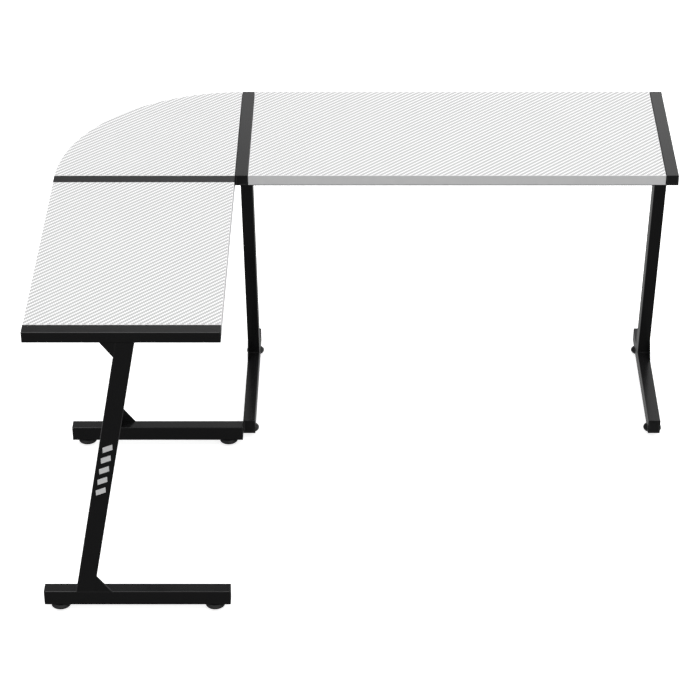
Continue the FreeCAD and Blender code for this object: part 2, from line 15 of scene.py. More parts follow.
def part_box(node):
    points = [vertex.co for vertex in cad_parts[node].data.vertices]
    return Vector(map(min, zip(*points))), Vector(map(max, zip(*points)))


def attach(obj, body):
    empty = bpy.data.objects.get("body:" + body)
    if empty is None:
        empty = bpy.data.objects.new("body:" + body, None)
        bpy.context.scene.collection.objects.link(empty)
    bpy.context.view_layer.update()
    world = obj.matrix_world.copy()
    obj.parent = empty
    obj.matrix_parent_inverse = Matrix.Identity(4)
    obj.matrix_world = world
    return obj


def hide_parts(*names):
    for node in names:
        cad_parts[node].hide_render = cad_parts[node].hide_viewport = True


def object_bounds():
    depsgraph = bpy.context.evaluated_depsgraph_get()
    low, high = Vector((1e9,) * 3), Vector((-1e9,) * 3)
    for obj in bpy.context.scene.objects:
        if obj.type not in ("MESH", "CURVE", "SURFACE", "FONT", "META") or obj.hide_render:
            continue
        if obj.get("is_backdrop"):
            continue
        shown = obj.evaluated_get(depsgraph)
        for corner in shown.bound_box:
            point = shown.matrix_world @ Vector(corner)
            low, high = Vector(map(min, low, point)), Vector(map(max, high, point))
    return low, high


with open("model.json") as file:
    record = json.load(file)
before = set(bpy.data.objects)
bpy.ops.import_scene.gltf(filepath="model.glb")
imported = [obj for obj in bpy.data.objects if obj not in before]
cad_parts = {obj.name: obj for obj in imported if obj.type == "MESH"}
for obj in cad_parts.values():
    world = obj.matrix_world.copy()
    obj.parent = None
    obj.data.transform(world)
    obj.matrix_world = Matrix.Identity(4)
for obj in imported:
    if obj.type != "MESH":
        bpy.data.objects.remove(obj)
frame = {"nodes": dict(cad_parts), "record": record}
cad_low, cad_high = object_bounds()
MM = 0.001
LEGS = ("right_end", "middle", "corner", "left_end")
print("model box in mm:", [round(v / MM, 1) for v in (*cad_low, *cad_high)])

# %% [markdown]
# ## The camera
# The desk is seen from in front and above, through a long lens, so that its upright lines stay
# nearly parallel. A short lens nearer the desk would show the same objects with much stronger
# convergence.

# %% Place the camera
LOOK_DOWN = 32.54
LENS = 128.7
CAMERA_PLACE = (0.00505, -4.99895, 3.6543)
SENSOR = 36
camera_data = bpy.data.cameras.new("camera")
camera_data.sensor_width = SENSOR
camera_data.lens = LENS
camera_data.shift_x = -0.0292
camera_data.shift_y = -0.0608
camera = bpy.data.objects.new("camera", camera_data)
camera.location = CAMERA_PLACE
camera.rotation_euler = (math.radians(90 - LOOK_DOWN), 0, 0)
bpy.context.scene.collection.objects.link(camera)
bpy.context.scene.camera = camera
bpy.context.scene.view_settings.view_transform = "Standard"
print("lens:", LENS, "mm, looking down", LOOK_DOWN, "degrees")

# %% [markdown]
# ## Joining nodes
# Every finish below is a small network of nodes. These helpers add a node with its settings, and
# do one step of arithmetic, so that a pattern can be written as the sum that it is.


# %% Helpers for nodes
class Network:
    """A node tree, with short ways to add nodes and sums."""

    def __init__(self, tree):
        self.tree = tree

    def add(self, kind, **settings):
        made = self.tree.nodes.new(kind)
        for name, value in settings.items():
            setattr(made, name, value)
        return made

    def feed(self, socket, value):
        """Give a socket a number, or the output of another node."""
        if isinstance(value, (int, float, tuple)):
            socket.default_value = value
        else:
            self.tree.links.new(value, socket)

    def math(self, operation, first, second=0.0):
        made = self.add("ShaderNodeMath", operation=operation)
        self.feed(made.inputs[0], first)
        self.feed(made.inputs[1], second)
        return made.outputs[0]

    def rise(self, value, start, end, low=0.0, high=1.0):
        """A smooth step from low to high as value goes from start to end."""
        made = self.add("ShaderNodeMapRange", interpolation_type="SMOOTHSTEP")
        for socket, number in zip(made.inputs[:5], (value, start, end, low, high)):
            self.feed(socket, number)
        return made.outputs[0]

    def split(self, vector):
        made = self.add("ShaderNodeSeparateXYZ")
        self.feed(made.inputs[0], vector)
        return made.outputs

    def blend(self, share, first, second):
        """A colour between two colours."""
        made = self.add("ShaderNodeMix", data_type="RGBA")
        self.feed(made.inputs[0], share)
        self.feed(made.inputs[6], first)
        self.feed(made.inputs[7], second)
        return made.outputs[2]

    def noise(self, place, scale, detail=2.0):
        made = self.add("ShaderNodeTexNoise")
        self.feed(made.inputs["Vector"], place)
        made.inputs["Scale"].default_value = scale
        made.inputs["Detail"].default_value = detail
        return made.outputs[0]

    def bump(self, height, distance, strength):
        made = self.add("ShaderNodeBump")
        made.inputs["Strength"].default_value = strength
        made.inputs["Distance"].default_value = distance
        self.feed(made.inputs["Height"], height)
        return made.outputs[0]


def new_finish(name, roughness, metallic=0.0):
    """A material, its network, its shader and the place on the object."""
    material = bpy.data.materials.new(name)
    material.use_nodes = True
    network = Network(material.node_tree)
    shader = material.node_tree.nodes["Principled BSDF"]
    shader.inputs["Roughness"].default_value = roughness
    shader.inputs["Metallic"].default_value = metallic
    place = network.add("ShaderNodeTexCoord").outputs["Object"]
    return material, network, shader, place


print("helpers ready")

# %% [markdown]
# ## The light
# The desk stands in a white studio: a large soft light overhead, a wall behind that is brighter to
# the right, and a soft light in front that is dark low down. Some light also comes up from below
# at the back and the sides, as it would off a white floor. Lamps could make this, but a sky that
# depends on direction gives the same soft light with less noise. The dark low front is what the
# steel's front faces mirror, so they stay black, and the wall is what draws a pale sheen along the
# tops of the bars.

# %% Light the studio
world = bpy.data.worlds.new("studio")
world.use_nodes = True
bpy.context.scene.world = world
sky = Network(world.node_tree)
direction = sky.split(sky.add("ShaderNodeTexCoord").outputs["Generated"])
OVERHEAD = 3.1
WALL = 2.0
WALL_TOP = 0.72
FRONT_HIGH = 0.75
FRONT_LOW = 0.13
BELOW_BACK = 0.36
BELOW_SIDES = 0.9
# Where each light fades in or out. A direction's x, y and z each run from -1 to 1.
OVERHEAD_FADE = (0.78, 0.95)
HORIZON_FADE = (-0.03, 0.03)
BEHIND_FADE = (0.0, 0.5)
WALL_TOP_FADE = (0.43, 0.5)
WALL_FOOT_FADE = (0.0, 0.42)
WALL_LEFT_FADE = (-0.26, 0.06)
WALL_LEFT_SHARE = 0.1
FRONT_FADE = (-0.35, 0.1)
SIDES_FADE = (0.35, 0.85)
overhead = sky.rise(direction[2], *OVERHEAD_FADE, 0.0, OVERHEAD)
under_floor = sky.rise(direction[2], *HORIZON_FADE, 1.0, 0.0)
behind = sky.rise(direction[1], *BEHIND_FADE)
wall_height = sky.rise(direction[2], *WALL_TOP_FADE, WALL, WALL_TOP)
across_wall = sky.rise(direction[0], *WALL_LEFT_FADE, WALL_LEFT_SHARE, 1.0)
from_floor = sky.rise(direction[2], *WALL_FOOT_FADE)
wall = sky.math("MULTIPLY", sky.math("MULTIPLY", wall_height, across_wall), from_floor)
below = sky.math("MULTIPLY", under_floor, BELOW_BACK)
at_back = sky.math("MULTIPLY", sky.math("ADD", wall, below), behind)
front_height = sky.rise(direction[2], *FRONT_FADE, FRONT_LOW, FRONT_HIGH)
at_front = sky.math("MULTIPLY", front_height, sky.math("SUBTRACT", 1.0, behind))
sideways = sky.rise(sky.math("ABSOLUTE", direction[0]), *SIDES_FADE, 0.0, BELOW_SIDES)
at_sides = sky.math("MULTIPLY", sideways, under_floor)
brightness = sky.math("ADD", sky.math("ADD", overhead, at_sides),
                      sky.math("ADD", at_back, at_front))
lit = sky.add("ShaderNodeBackground")
sky.feed(lit.inputs["Strength"], brightness)
plain = sky.add("ShaderNodeBackground")
plain.inputs["Color"].default_value = (1, 1, 1, 1)
seen = sky.add("ShaderNodeMixShader")
sky.feed(seen.inputs[0], sky.add("ShaderNodeLightPath").outputs["Is Camera Ray"])
sky.feed(seen.inputs[1], lit.outputs[0])
sky.feed(seen.inputs[2], plain.outputs[0])
sky.feed(world.node_tree.nodes["World Output"].inputs[0], seen.outputs[0])
print("studio lit")

# %% [markdown]
# ## The floor
# A pale floor carries the desk. It is bright enough to look as white as the studio behind it, so
# the desk's soft shadows nearly vanish. It lies a foot's travel below the pads, so that it never
# hides a foot that is wound out. It is left out of reflections and adds no light to the desk,
# which keeps the steel dark.

# %% Lay the floor
FOOT_TRAVEL = 10 * MM
FLOOR_CLEARANCE = 0.5 * MM
FLOOR_RADIUS = 9
FLOOR_GLOW = 0.8
bpy.ops.object.select_all(action="DESELECT")
bpy.ops.mesh.primitive_circle_add(
    vertices=96, radius=FLOOR_RADIUS, fill_type="NGON",
    location=(0, 0, cad_low.z - FOOT_TRAVEL - FLOOR_CLEARANCE))
floor = bpy.context.object
floor.name = "floor"
floor.visible_glossy = False
floor.visible_diffuse = False
paint, _, shader, _ = new_finish("pale_floor", 0.8)
shader.inputs["Base Color"].default_value = (0.8, 0.8, 0.8, 1)
shader.inputs["Emission Color"].default_value = (1, 1, 1, 1)
shader.inputs["Emission Strength"].default_value = FLOOR_GLOW
floor.data.materials.append(paint)
floor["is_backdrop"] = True
print("floor at", round(floor.location.z / MM, 1), "mm")

# %% [markdown]
# ## White laminate with a woven print
# The boards are covered in a white laminate printed and pressed like a woven cloth: bands of
# thread run over two and under two, each row set one thread over, which draws slanting lines
# across every board. The colour also follows each thread's height, darker towards its edges, as
# painted shade in the creases between threads. A texture file could be stuck on, but arithmetic on
# the position gives an endless weave that lines up on all three boards.

# %% The laminate
THREAD_X = 3.748 * MM
THREAD_Y = 3.546 * MM
REPEAT = 4
FIBRES = 12
FIBRE_HEIGHT = 0.04
UNDER_HEIGHT = 0.8
# The share of the colour that follows the threads' height is painted shade in the creases.
CREASE_SHADE_SHARE = 0.25
CLOUDINESS = 0.06
PRESS_DEPTH = 0.06 * MM
# The darkest colour is a grey thread at its edge, in painted shade; the lightest is a white thread
# along its middle, in painted light.
SHADED_GREY_THREAD = (0.43, 0.43, 0.435, 1)
LIT_WHITE_THREAD = (0.95, 0.95, 0.95, 1)
white_laminate, network, shader, place = new_finish("white_laminate", 0.42)
spot = network.split(place)
column = network.math("DIVIDE", spot[0], THREAD_X)
row = network.math("DIVIDE", spot[1], THREAD_Y)
step = network.math("SUBTRACT", network.math("FLOOR", column), network.math("FLOOR", row))
phase = network.math("FLOORED_MODULO", step, REPEAT)
upright = network.math("LESS_THAN", phase, REPEAT / 2)


def rounded(position):
    """The height across a thread: 0 at its edges and 1 along its middle."""
    across = network.math("FRACT", position)
    fall = network.math("SUBTRACT", 1.0, across)
    return network.math("MULTIPLY", network.math("MULTIPLY", across, fall), 4.0)


def fibres(position):
    """Fine lines along a thread, a dozen to its width."""
    wave = network.math("SINE", network.math("MULTIPLY", position, FIBRES * 2 * math.pi))
    return network.math("MULTIPLY", wave, FIBRE_HEIGHT)


over = network.math("ADD", rounded(column), fibres(column))
under = network.math("ADD", network.math("MULTIPLY", rounded(row), UNDER_HEIGHT), fibres(row))
gap = network.math("SUBTRACT", 1.0, upright)
weave = network.math("ADD", network.math("MULTIPLY", over, upright),
                     network.math("MULTIPLY", under, gap))
# Painted shade: a quarter of the colour follows the threads' height, fibres included, so each
# thread darkens towards its edges; the rest is the print's white and grey threads.
print_and_crease_shade = network.math("ADD", network.math("MULTIPLY", weave, CREASE_SHADE_SHARE),
                    network.math("MULTIPLY", upright, 1 - CREASE_SHADE_SHARE))
drift = network.math("SUBTRACT", network.noise(place, 9.0), 0.5)
cloudy = network.math("MULTIPLY", drift, CLOUDINESS)
network.feed(shader.inputs["Base Color"],
             network.blend(network.math("ADD", print_and_crease_shade, cloudy), SHADED_GREY_THREAD, LIT_WHITE_THREAD))
network.feed(shader.inputs["Roughness"], network.rise(weave, 0.0, 1.0, 0.55, 0.36))
network.feed(shader.inputs["Normal"], network.bump(weave, PRESS_DEPTH, 0.5))
print("one repeat of the weave:", round(REPEAT * THREAD_X / MM, 2), "mm")

# %% [markdown]
# ## White edge strip
# A plain plastic strip is glued round each board. It has no weave, only the faint orange-peel of
# extruded plastic, so a little fine noise in its height is enough.

# %% The edge strip
white_edge, network, shader, place = new_finish("white_edge", 0.4)
mottle = network.noise(place, 60.0)
network.feed(shader.inputs["Base Color"],
             network.blend(mottle, (0.80, 0.80, 0.805, 1), (0.86, 0.86, 0.86, 1)))
network.feed(shader.inputs["Roughness"], network.rise(mottle, 0.3, 0.7, 0.36, 0.46))
network.feed(shader.inputs["Normal"], network.bump(network.noise(place, 900.0), 0.04 * MM, 0.4))
print("edge strip ready")

# %% [markdown]
# ## Black finishes
# The steel is powder coated: powder melts into a skin with tiny rounded dimples. The caps and pads
# are moulded in black plastic, duller and with a finer grain. One recipe makes them all, with the
# roughness, the size of the grain and the gloss as its numbers.


# %% Powder coat and moulded plastic
DARKER = 0.9
UNEVEN = 0.015
GRAIN_DEPTH = 0.03 * MM


def grained_black(name, colour, roughness, grain, gloss):
    material, network, shader, place = new_finish(name, roughness)
    dimples = network.noise(place, grain, 3.0)
    patches = network.noise(place, 40.0)
    darker = tuple(DARKER * c for c in colour)
    network.feed(shader.inputs["Base Color"], network.blend(patches, (*darker, 1), (*colour, 1)))
    network.feed(shader.inputs["Roughness"],
                 network.rise(patches, 0.3, 0.7, roughness - UNEVEN, roughness + UNEVEN))
    network.feed(shader.inputs["Normal"], network.bump(dimples, GRAIN_DEPTH, 0.35))
    shader.inputs["Specular IOR Level"].default_value = gloss
    return material


black_steel = grained_black("black_steel", (0.0095, 0.0095, 0.0100), 0.2, 900.0, 0.5)
black_plastic = grained_black("black_plastic", (0.0105, 0.0105, 0.011), 0.4, 1600.0, 0.4)
foot_plastic = grained_black("foot_plastic", (0.009, 0.009, 0.0095), 0.4, 1600.0, 0.4)
print("black finishes ready")

# %% [markdown]
# ## Zinc plate
# Studs, nuts and screws are zinc plated: a pale metal, slightly blotched where the bath was
# uneven.

# %% Zinc plate
zinc_steel, network, shader, place = new_finish("zinc_steel", 0.32, 1.0)
blotches = network.noise(place, 120.0, 4.0)
network.feed(shader.inputs["Base Color"],
             network.blend(blotches, (0.52, 0.53, 0.54, 1), (0.70, 0.70, 0.69, 1)))
network.feed(shader.inputs["Roughness"], network.rise(blotches, 0.3, 0.7, 0.24, 0.42))
FINISHES = {
    "white_laminate": white_laminate,
    "white_edge": white_edge,
    "black_steel": black_steel,
    "black_plastic": black_plastic,
    "foot_plastic": foot_plastic,
    "zinc_steel": zinc_steel,
}
print("finishes:", ", ".join(FINISHES))

# %% [markdown]
# ## Finishing the model's own pieces
# The boards, bars and rails already have their right shapes, so each keeps its mesh and is only
# given the finish that the record names for it.

# %% Give each piece its finish
slot_of = {entry["node"]: entry["material_slot"] for entry in frame["record"]["subparts"]}
for name, piece in frame["nodes"].items():
    piece.data.materials.clear()
    piece.data.materials.append(FINISHES[slot_of[name]])
print(len(slot_of), "pieces finished")

# %% [markdown]
# ## Working on a mesh
# New pieces are shaped the way they would be by hand: start from a primitive, select some faces or
# edges, and act on them. These helpers do the selecting, by place, and tidy up afterwards.


# %% Helpers for modelling
SHARP_ANGLE = 35
SMOOTH_ANGLE = 40


def start(name):
    """Take the primitive just added, with its place and size put into its mesh."""
    piece = bpy.context.object
    piece.name = name
    bpy.ops.object.transform_apply(location=True, rotation=True, scale=True)
    return piece


def choose(piece, wanted, kind="FACE"):
    """Go into edit mode with only what passes the test selected. It is given middle and normal."""
    bpy.ops.object.mode_set(mode="OBJECT")
    mesh = piece.data
    for group in (mesh.vertices, mesh.edges, mesh.polygons):
        group.foreach_set("select", [False] * len(group))
    bpy.context.tool_settings.mesh_select_mode = tuple(kind == k for k in ("VERT", "EDGE", "FACE"))
    groups = {"VERT": mesh.vertices, "EDGE": mesh.edges, "FACE": mesh.polygons}
    found = 0
    for item in groups[kind]:
        corners = [item.index] if kind == "VERT" else list(item.vertices)
        middle = sum((mesh.vertices[i].co for i in corners), Vector()) / len(corners)
        facing = item.normal if kind == "FACE" else Vector()
        if wanted(middle, facing):
            item.select = True
            found += 1
            for i in corners:
                mesh.vertices[i].select = True
    bpy.ops.object.mode_set(mode="EDIT")
    return found


def done():
    bpy.ops.object.mode_set(mode="OBJECT")


def extrude(move):
    bpy.ops.mesh.extrude_region_move(TRANSFORM_OT_translate={"value": move})


def use(piece, kind, **settings):
    """Add a modifier, set it and apply it."""
    modifier = piece.modifiers.new(kind.lower(), kind)
    for name, value in settings.items():
        setattr(modifier, name, value)
    bpy.ops.object.select_all(action="DESELECT")
    piece.select_set(True)
    bpy.context.view_layer.objects.active = piece
    bpy.ops.object.modifier_apply(modifier=modifier.name)


def soften(piece, width, segments=2):
    """Round the sharp edges. Weighted normals keep the flat faces between them looking flat."""
    use(piece, "BEVEL", width=width, segments=segments, limit_method="ANGLE",
        angle_limit=math.radians(SHARP_ANGLE))
    bpy.ops.object.shade_smooth_by_angle(angle=math.radians(SMOOTH_ANGLE))
    use(piece, "WEIGHTED_NORMAL", keep_sharp=True)


def copy_to(pattern, name, move):
    """A copy with its own mesh. move is a matrix, and goes into the mesh."""
    twin = bpy.data.objects.new(name, pattern.data.copy())
    twin.data.transform(move)
    bpy.context.scene.collection.objects.link(twin)
    return twin


def join(pieces, name):
    bpy.ops.object.select_all(action="DESELECT")
    for piece in pieces:
        piece.select_set(True)
    bpy.context.view_layer.objects.active = pieces[0]
    bpy.ops.object.join()
    pieces[0].name = name
    return pieces[0]


def finish_piece(piece, body, slot, *nodes):
    piece.data.materials.clear()
    piece.data.materials.append(FINISHES[slot])
    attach(piece, body)
    if nodes:
        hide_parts(*nodes)


def forget(pattern):
    """Remove a pattern that has been copied to all its places."""
    bpy.data.objects.remove(pattern)


print("modelling helpers ready")

# %% [markdown]
# ## Foot pads
# Each foot stands on a moulded disc: a low rim with finger flutes to turn it by, a sloping
# shoulder and a well for the stud. A lathe profile would give the round parts but not the flutes,
# so this one starts as a many-sided cylinder, and every fifth side is pushed in.

# %% Model one foot pad
SIDES = 60
PAD_RADIUS = 22.5 * MM
PAD_HEIGHT = 7.5 * MM
RIM_HEIGHT = 2.5 * MM
TOP_RADIUS = 18 * MM
WELL_RADIUS = 8.6 * MM
RIVET_WELL_RADIUS = 7.6 * MM
BORE_RADIUS = 4.05 * MM
TOP_WEB = 5.3 * MM
BOTTOM_WEB = 3.2 * MM
SIDES_PER_FLUTE = 5
FLUTE_SHRINK = 0.965
FLUTE_BORDER = 0.3 * MM
bpy.ops.object.select_all(action="DESELECT")
bpy.ops.mesh.primitive_cylinder_add(
    vertices=SIDES, radius=PAD_RADIUS, depth=PAD_HEIGHT, location=(0, 0, PAD_HEIGHT / 2))
pad = start("pad_pattern")
choose(pad, lambda middle, facing: True)
bpy.ops.mesh.bisect(plane_co=(0, 0, RIM_HEIGHT), plane_no=(0, 0, 1))
choose(pad, lambda middle, facing: middle.z > PAD_HEIGHT - 0.01 * MM, "VERT")
shrink = TOP_RADIUS / PAD_RADIUS
bpy.ops.transform.resize(value=(shrink, shrink, 1), center_override=(0, 0, PAD_HEIGHT))
for level, upward, well, outer, web in ((PAD_HEIGHT, 1, WELL_RADIUS, TOP_RADIUS, TOP_WEB),
                                        (0, -1, RIVET_WELL_RADIUS, PAD_RADIUS, BOTTOM_WEB)):
    choose(pad, lambda middle, facing: facing.z * upward > 0.9
           and abs(middle.z - level) < 0.1 * MM)
    bpy.ops.mesh.inset(thickness=outer - well)
    extrude((0, 0, web - level))
    bpy.ops.mesh.inset(thickness=well - BORE_RADIUS)
choose(pad, lambda middle, facing: middle.xy.length < 0.1 * MM and abs(facing.z) > 0.9)
bpy.ops.mesh.bridge_edge_loops()


def flute(middle, facing):
    side = round(math.atan2(middle.y, middle.x) / (2 * math.pi) * SIDES - 0.5)
    low_rim = middle.z < RIM_HEIGHT * 0.6 and middle.xy.length > PAD_RADIUS * 0.95
    return low_rim and abs(facing.z) < 0.1 and side % SIDES_PER_FLUTE == 0


flutes = choose(pad, flute)
bpy.ops.mesh.inset(thickness=FLUTE_BORDER)
bpy.ops.transform.resize(value=(FLUTE_SHRINK, FLUTE_SHRINK, 1), center_override=(0, 0, 0))
done()
soften(pad, 0.3 * MM)
print("foot pad:", flutes, "flutes,", len(pad.data.polygons), "faces")

# %% [markdown]
# ## Threaded studs
# Turning a foot moves it up or down, because its stud is a screw. The thread is one thin wedge
# wound up the shank by a Screw modifier, whose rise in one turn is the real pitch. Stacked rings
# would look alike from afar, but they wouldn't climb as the stud turns.

# %% Model one threaded stud
PITCH = 1.25 * MM
SHANK_RADIUS = 3.4 * MM
CREST_RADIUS = 3.98 * MM
RIVET_RADIUS = 7 * MM
RIVET_BOTTOM = 1 * MM
RIVET_TOP = 3.1 * MM
NECK_RADIUS = 3.95 * MM
NECK_TOP = 5.4 * MM
COLLAR_RADIUS = 8 * MM
COLLAR_TOP = 7.2 * MM
STUD_TOP = 28 * MM
TIP_HEIGHT = 0.6 * MM
TIP_SHRINK = 0.85
TURNS = 16
ROOT_SHARE = 0.88
CREST_SHARE = 0.14
THREAD_ROOT = SHANK_RADIUS - 0.2 * MM
THREAD_START = COLLAR_TOP - 0.3 * MM + PITCH / 2
bpy.ops.object.select_all(action="DESELECT")
bpy.ops.mesh.primitive_cylinder_add(
    vertices=40, radius=RIVET_RADIUS, depth=RIVET_TOP - RIVET_BOTTOM,
    location=(0, 0, (RIVET_BOTTOM + RIVET_TOP) / 2))
shank = start("stud_pattern")
choose(shank, lambda middle, facing: facing.z > 0.9)
bpy.ops.mesh.inset(thickness=RIVET_RADIUS - NECK_RADIUS)
extrude((0, 0, NECK_TOP - RIVET_TOP))
grow = COLLAR_RADIUS / NECK_RADIUS
choose(shank, lambda middle, facing: facing.z > 0.9 and middle.z > NECK_TOP - 0.1 * MM)
extrude((0, 0, 0))
bpy.ops.transform.resize(value=(grow, grow, 1), center_override=(0, 0, NECK_TOP))
extrude((0, 0, COLLAR_TOP - NECK_TOP))
bpy.ops.mesh.inset(thickness=COLLAR_RADIUS - SHANK_RADIUS)
extrude((0, 0, STUD_TOP - TIP_HEIGHT - COLLAR_TOP))
extrude((0, 0, TIP_HEIGHT))
bpy.ops.transform.resize(value=(TIP_SHRINK, TIP_SHRINK, 1), center_override=(0, 0, STUD_TOP))
done()
soften(shank, 0.2 * MM)
bpy.ops.object.select_all(action="DESELECT")
thread_middle = ((THREAD_ROOT + CREST_RADIUS) / 2, 0, THREAD_START)
bpy.ops.mesh.primitive_plane_add(size=1, rotation=(math.pi / 2, 0, 0), location=thread_middle)
thread = start("thread_pattern")
choose(thread, lambda middle, facing: True)
bpy.ops.transform.resize(value=(CREST_RADIUS - THREAD_ROOT, 1, ROOT_SHARE * PITCH),
                         center_override=thread_middle)
choose(thread, lambda middle, facing: middle.x > SHANK_RADIUS, "VERT")
bpy.ops.transform.resize(value=(1, 1, CREST_SHARE),
                         center_override=(CREST_RADIUS, 0, THREAD_START))
done()
use(thread, "SCREW", angle=2 * math.pi, screw_offset=PITCH, iterations=TURNS, steps=20,
    render_steps=20, use_merge_vertices=False)
choose(thread, lambda middle, facing: True)
bpy.ops.mesh.remove_doubles(threshold=0.001 * MM)
bpy.ops.mesh.select_all(action="SELECT")
bpy.ops.mesh.fill_holes(sides=4)
bpy.ops.mesh.select_all(action="SELECT")
bpy.ops.mesh.normals_make_consistent(inside=False)
done()
stud = join([shank, thread], "stud_pattern")
print("stud:", TURNS, "turns of thread,", len(stud.data.polygons), "faces")

# %% [markdown]
# ## Placing the feet
# Each foot takes a copy of the pad and of the stud, with a mesh of its own, because the two ride
# on different bodies: the pad only slides, and the stud also turns.

# %% Put a pad and a stud at every foot
FEET = [name[:-4] for name in frame["nodes"] if name.endswith("_pad")]
for foot in sorted(FEET):
    low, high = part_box(f"{foot}_pad")
    spot = Matrix.Translation(((low.x + high.x) / 2, (low.y + high.y) / 2, low.z))
    pad_copy = copy_to(pad, f"{foot}_glide", spot)
    finish_piece(pad_copy, f"{foot}_pad", "foot_plastic", f"{foot}_pad")
    stud_copy = copy_to(stud, f"{foot}_screw", spot)
    finish_piece(stud_copy, f"{foot}_stud", "zinc_steel", f"{foot}_stud")
forget(pad)
forget(stud)
print(len(FEET), "feet placed")

# %% [markdown]
# ## End caps
# Each tube is closed by a moulded cap: a flange as big as the tube, with softened edges and a
# shallow panel, on a plug that grips the inside. An inset wider than the rounded corners would
# fold them over, so each smaller outline is a resized copy instead. Top bars and base bars differ
# in height, so the pattern is a function of it.


# %% Model and place the end caps
CAP_FLANGE = 2 * MM
CAP_PLUG = 12 * MM
PLUG_INSET = 1.6 * MM
PLUG_WALL = 1.6 * MM
PLUG_FLOOR = 0.5 * MM
PANEL_BORDER = 2.6 * MM
PANEL_DEPTH = 0.8 * MM
TUBE_CORNER = 1.5 * MM
BAR_WIDTH = 30 * MM


def narrow(width, height, by, middle):
    """Put a smaller copy of the selected end face inside it, with its corners shrunk to match."""
    extrude((0, 0, 0))
    bpy.ops.transform.resize(value=(1, 1 - 2 * by / width, 1 - 2 * by / height),
                             center_override=middle)
    return width - 2 * by, height - 2 * by


def cap_pattern(bottom, top):
    """A cap for a tube that runs along X, with its outer face at x = 0."""
    middle = (0, 0, (bottom + top) / 2)
    bpy.ops.object.select_all(action="DESELECT")
    bpy.ops.mesh.primitive_cube_add(size=1, location=(-CAP_FLANGE / 2, 0, (bottom + top) / 2),
                                    scale=(CAP_FLANGE, BAR_WIDTH, top - bottom))
    cap = start("cap_pattern")
    choose(cap, lambda spot, facing: abs(spot.x + CAP_FLANGE / 2) < 0.01 * MM
           and abs(spot.y) > 14 * MM and abs(spot.z - middle[2]) > 10 * MM, "EDGE")
    bpy.ops.mesh.bevel(offset=TUBE_CORNER, segments=4, affect="EDGES")
    choose(cap, lambda spot, facing: facing.x > 0.9)
    size = narrow(BAR_WIDTH, top - bottom, PANEL_BORDER, middle)
    narrow(*size, PANEL_DEPTH, middle)
    bpy.ops.transform.translate(value=(-PANEL_DEPTH, 0, 0))
    choose(cap, lambda spot, facing: facing.x < -0.9)
    size = narrow(BAR_WIDTH, top - bottom, PLUG_INSET, middle)
    extrude((-CAP_PLUG, 0, 0))
    narrow(*size, PLUG_WALL, middle)
    extrude((CAP_PLUG - PLUG_FLOOR, 0, 0))
    done()
    soften(cap, 0.3 * MM)
    return cap


for leg in LEGS:
    low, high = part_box(f"{leg}_end_caps")
    middle = (low + high) / 2
    along_x = high.x - low.x > high.y - low.y
    half = (high.x - low.x if along_x else high.y - low.y) / 2
    caps = []
    for bar in ("top_bar", "base_bar"):
        bar_low, bar_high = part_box(f"{leg}_{bar}")
        pattern = cap_pattern(bar_low.z, bar_high.z)
        for end in (0, math.pi):
            turn = end + (0 if along_x else math.pi / 2)
            place = (Matrix.Translation((middle.x, middle.y, 0)) @ Matrix.Rotation(turn, 4, "Z")
                     @ Matrix.Translation((half, 0, 0)))
            caps.append(copy_to(pattern, "cap", place))
        forget(pattern)
    finish_piece(join(caps, f"{leg}_caps"), "desk", "black_plastic", f"{leg}_end_caps")
print("end caps on", len(LEGS), "legs")

# %% [markdown]
# ## Weld beads
# The posts are welded to the bars, and each weld leaves a low bead of overlapping ripples, painted
# over with the rest. One ripple is a squashed ball, and an Array modifier lays it along the seam.

# %% Model and place the weld beads
RIPPLE_STEP = 1.7 * MM
BEAD_RADIUS = 1.7 * MM
RIPPLES = 15
BEAD_SQUASH = 0.85
bpy.ops.object.select_all(action="DESELECT")
bpy.ops.mesh.primitive_uv_sphere_add(segments=10, ring_count=6, radius=BEAD_RADIUS)
bead = start("bead_pattern")
choose(bead, lambda middle, facing: True)
bpy.ops.transform.resize(value=(1, BEAD_SQUASH, 1), center_override=(0, 0, 0))
bpy.ops.transform.translate(value=(0, -RIPPLE_STEP * (RIPPLES - 1) / 2, 0))
done()
use(bead, "ARRAY", count=RIPPLES, use_relative_offset=False, use_constant_offset=True,
    constant_offset_displace=(0, RIPPLE_STEP, 0))
bpy.ops.object.shade_smooth()
POST_DEPTH = 41.5 * MM


def seam_places(leg):
    """The middle of each seam at the post's foot and head, with the turn to lay a bead on it."""
    low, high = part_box(f"{leg}_post")
    middle = (low + high) / 2
    if high.x - low.x > high.y - low.y:
        foot_start, head_end, turn = low.x, high.x, 0
        return [((x, middle.y, z), turn) for x, z in (
            (foot_start, low.z), (foot_start + POST_DEPTH, low.z),
            (head_end - POST_DEPTH, high.z), (head_end, high.z))]
    foot_start, head_end, turn = high.y, low.y, math.pi / 2
    return [((middle.x, y, z), turn) for y, z in (
        (foot_start, low.z), (foot_start - POST_DEPTH, low.z),
        (head_end + POST_DEPTH, high.z), (head_end, high.z))]


for leg in LEGS:
    beads = [copy_to(bead, "bead", Matrix.Translation(spot) @ Matrix.Rotation(turn, 4, "Z"))
             for spot, turn in seam_places(leg)]
    finish_piece(join(beads, f"{leg}_weld_beads"), "desk", "black_steel")
forget(bead)
print("weld beads on", len(LEGS), "legs")

# %% [markdown]
# ## Bolts and screws under the boards
# Hexagon bolts hold the boards to the legs' tabs, and pan-head screws hold the rails. The model
# has each as a plain turned shape, so its places are read off the mesh, and a chamfered head is
# put at each.


